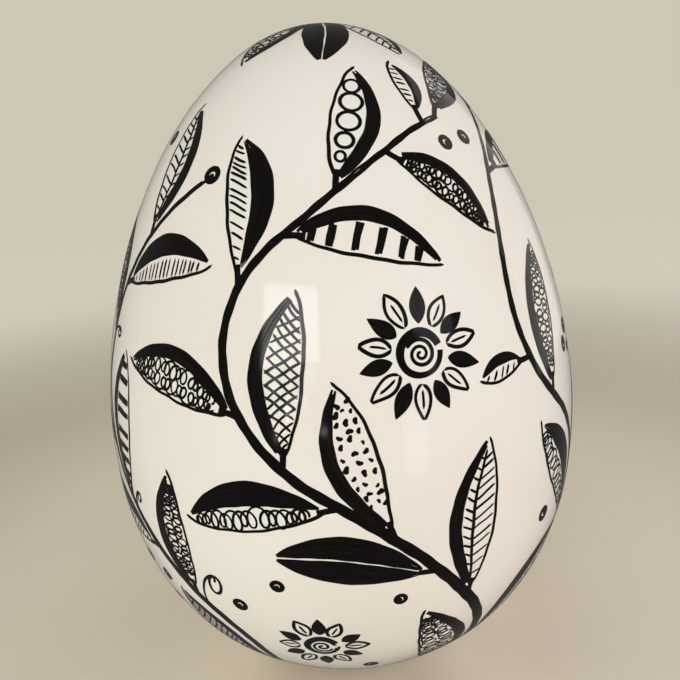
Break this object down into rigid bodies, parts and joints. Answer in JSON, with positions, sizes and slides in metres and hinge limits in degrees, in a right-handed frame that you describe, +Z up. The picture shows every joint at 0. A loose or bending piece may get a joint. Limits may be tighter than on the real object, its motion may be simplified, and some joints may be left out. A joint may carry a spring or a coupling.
{
  "type": "decorative egg",
  "caption": "Large glossy white ceramic egg that stands upright on its blunt end, for display, decorated all round with black pen drawing.",
  "frame": {"origin": "centre of the flat foot, on the surface the egg stands on", "axes": "+Z up along the egg's axis of revolution, towards its pointed end; +Y away from the viewer of the picture's side"},
  "size_m": [0.2444, 0.2444, 0.33],
  "materials": {
    "glaze": "high gloss, warm white",
    "ink": "black paint marker under the same gloss as the glaze",
    "bare_foot": "unglazed, matt"
  },
  "bodies": {
    "root": {"egg": "glaze"}
  },
  "joints": []
}
